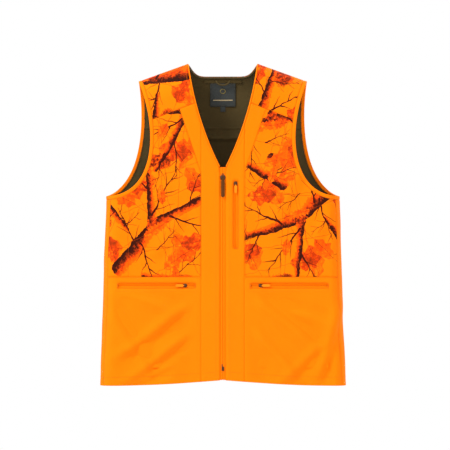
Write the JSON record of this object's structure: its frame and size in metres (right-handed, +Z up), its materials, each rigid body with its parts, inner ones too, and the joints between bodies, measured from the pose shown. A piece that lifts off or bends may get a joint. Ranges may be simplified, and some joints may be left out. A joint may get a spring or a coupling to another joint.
{
  "type": "hunting vest",
  "caption": "Sleeveless blaze orange hunting vest with a zip front, a zip chest pocket, zip lower pockets, printed yokes and chest panels, and a dark lining.",
  "frame": {"origin": "midway between the tops of the two shoulder seams, where shoulders or a hanger carry the vest", "axes": "+Z up, -Y out of the front, +X to the wearer's left"},
  "size_m": [0.574, 0.1153, 0.7509],
  "materials": {
    "blaze_cloth": "matte",
    "printed_cloth": "matte",
    "olive_lining": "matte",
    "label_cloth": "matte",
    "bronze_metal": "satin",
    "brown_rubber": "matte",
    "orange_rubber": "matte"
  },
  "bodies": {
    "shell": {"back_panel": "blaze_cloth", "back_hem_facing": "blaze_cloth", "chest_pocket_bag": "blaze_cloth", "left_neck_band": "blaze_cloth", "right_neck_band": "blaze_cloth", "left_pocket_front": "blaze_cloth", "right_pocket_front": "blaze_cloth", "left_side_panel": "blaze_cloth", "right_side_panel": "blaze_cloth", "left_armhole_binding": "blaze_cloth", "right_armhole_binding": "blaze_cloth", "left_hem_facing": "blaze_cloth", "right_hem_facing": "blaze_cloth", "left_pocket_zip_upper": "blaze_cloth", "right_pocket_zip_upper": "blaze_cloth", "left_pocket_zip_lower": "blaze_cloth", "right_pocket_zip_lower": "blaze_cloth", "left_pocket_bag": "blaze_cloth", "right_pocket_bag": "blaze_cloth", "back_yoke": "printed_cloth", "left_yoke": "printed_cloth", "right_yoke": "printed_cloth", "left_chest_panel": "printed_cloth", "right_chest_panel": "printed_cloth", "back_lining_yoke": "olive_lining", "back_lining": "olive_lining", "neck_tape": "olive_lining", "left_front_lining": "olive_lining", "right_front_lining": "olive_lining", "neck_label": "label_cloth", "size_tag": "label_cloth"},
    "left_front": {"left_placket": "blaze_cloth", "left_facing": "blaze_cloth", "left_zip_tape": "blaze_cloth", "left_zip_teeth": "blaze_cloth", "left_top_stop": "bronze_metal", "retainer_box": "bronze_metal", "chest_zip_inner": "blaze_cloth", "chest_zip_outer": "blaze_cloth"},
    "right_front": {"right_placket": "blaze_cloth", "right_facing": "blaze_cloth", "right_zip_tape": "blaze_cloth", "right_zip_teeth": "blaze_cloth", "right_top_stop": "bronze_metal", "insertion_pin": "bronze_metal"},
    "main_slider": {"main_slider": "bronze_metal"},
    "main_pull": {"main_pull": "brown_rubber"},
    "chest_slider": {"chest_slider": "bronze_metal"},
    "chest_pull": {"chest_pull": "orange_rubber"},
    "left_pocket_slider": {"left_pocket_slider": "bronze_metal"},
    "left_pocket_pull": {"left_pocket_pull": "orange_rubber"},
    "right_pocket_slider": {"right_pocket_slider": "bronze_metal"},
    "right_pocket_pull": {"right_pocket_pull": "orange_rubber"},
    "hanger_loop": {"hanger_loop": "olive_lining"}
  },
  "joints": [
    {"name": "left_front_fold", "type": "hinge", "parent": "shell", "child": "left_front", "pos_m": [0.0505, -0.055, -0.44], "axis": [0, 0, 1], "range_deg": [0, 110]},
    {"name": "right_front_fold", "type": "hinge", "parent": "shell", "child": "right_front", "pos_m": [-0.0505, -0.055, -0.44], "axis": [0, 0, -1], "range_deg": [0, 110]},
    {"name": "main_slider_run", "type": "slide", "parent": "left_front", "child": "main_slider", "axis": [0, 0, -1], "range_m": [0, 0.428]},
    {"name": "main_pull_swing", "type": "hinge", "parent": "main_slider", "child": "main_pull", "pos_m": [0, -0.0571, -0.266], "axis": [-1, 0, 0], "range_deg": [0, 165]},
    {"name": "chest_slider_run", "type": "slide", "parent": "left_front", "child": "chest_slider", "axis": [0, 0, -1], "range_m": [0, 0.144]},
    {"name": "chest_pull_swing", "type": "hinge", "parent": "chest_slider", "child": "chest_pull", "pos_m": [0.03, -0.0571, -0.2799], "axis": [-1, 0, 0], "range_deg": [0, 165]},
    {"name": "left_pocket_slider_run", "type": "slide", "parent": "shell", "child": "left_pocket_slider", "axis": [1, 0, 0], "range_m": [0, 0.15]},
    {"name": "left_pocket_pull_swing", "type": "hinge", "parent": "left_pocket_slider", "child": "left_pocket_pull", "pos_m": [0.088, -0.0571, -0.5175], "axis": [0, 0, -1], "range_deg": [0, 165]},
    {"name": "right_pocket_slider_run", "type": "slide", "parent": "shell", "child": "right_pocket_slider", "axis": [-1, 0, 0], "range_m": [0, 0.15]},
    {"name": "right_pocket_pull_swing", "type": "hinge", "parent": "right_pocket_slider", "child": "right_pocket_pull", "pos_m": [-0.088, -0.0571, -0.5175], "axis": [0, 0, 1], "range_deg": [0, 165]},
    {"name": "hanger_loop_swing", "type": "hinge", "parent": "shell", "child": "hanger_loop", "pos_m": [0, 0.0354, -0.0372], "axis": [-1, 0, 0], "range_deg": [0, 150]}
  ]
}
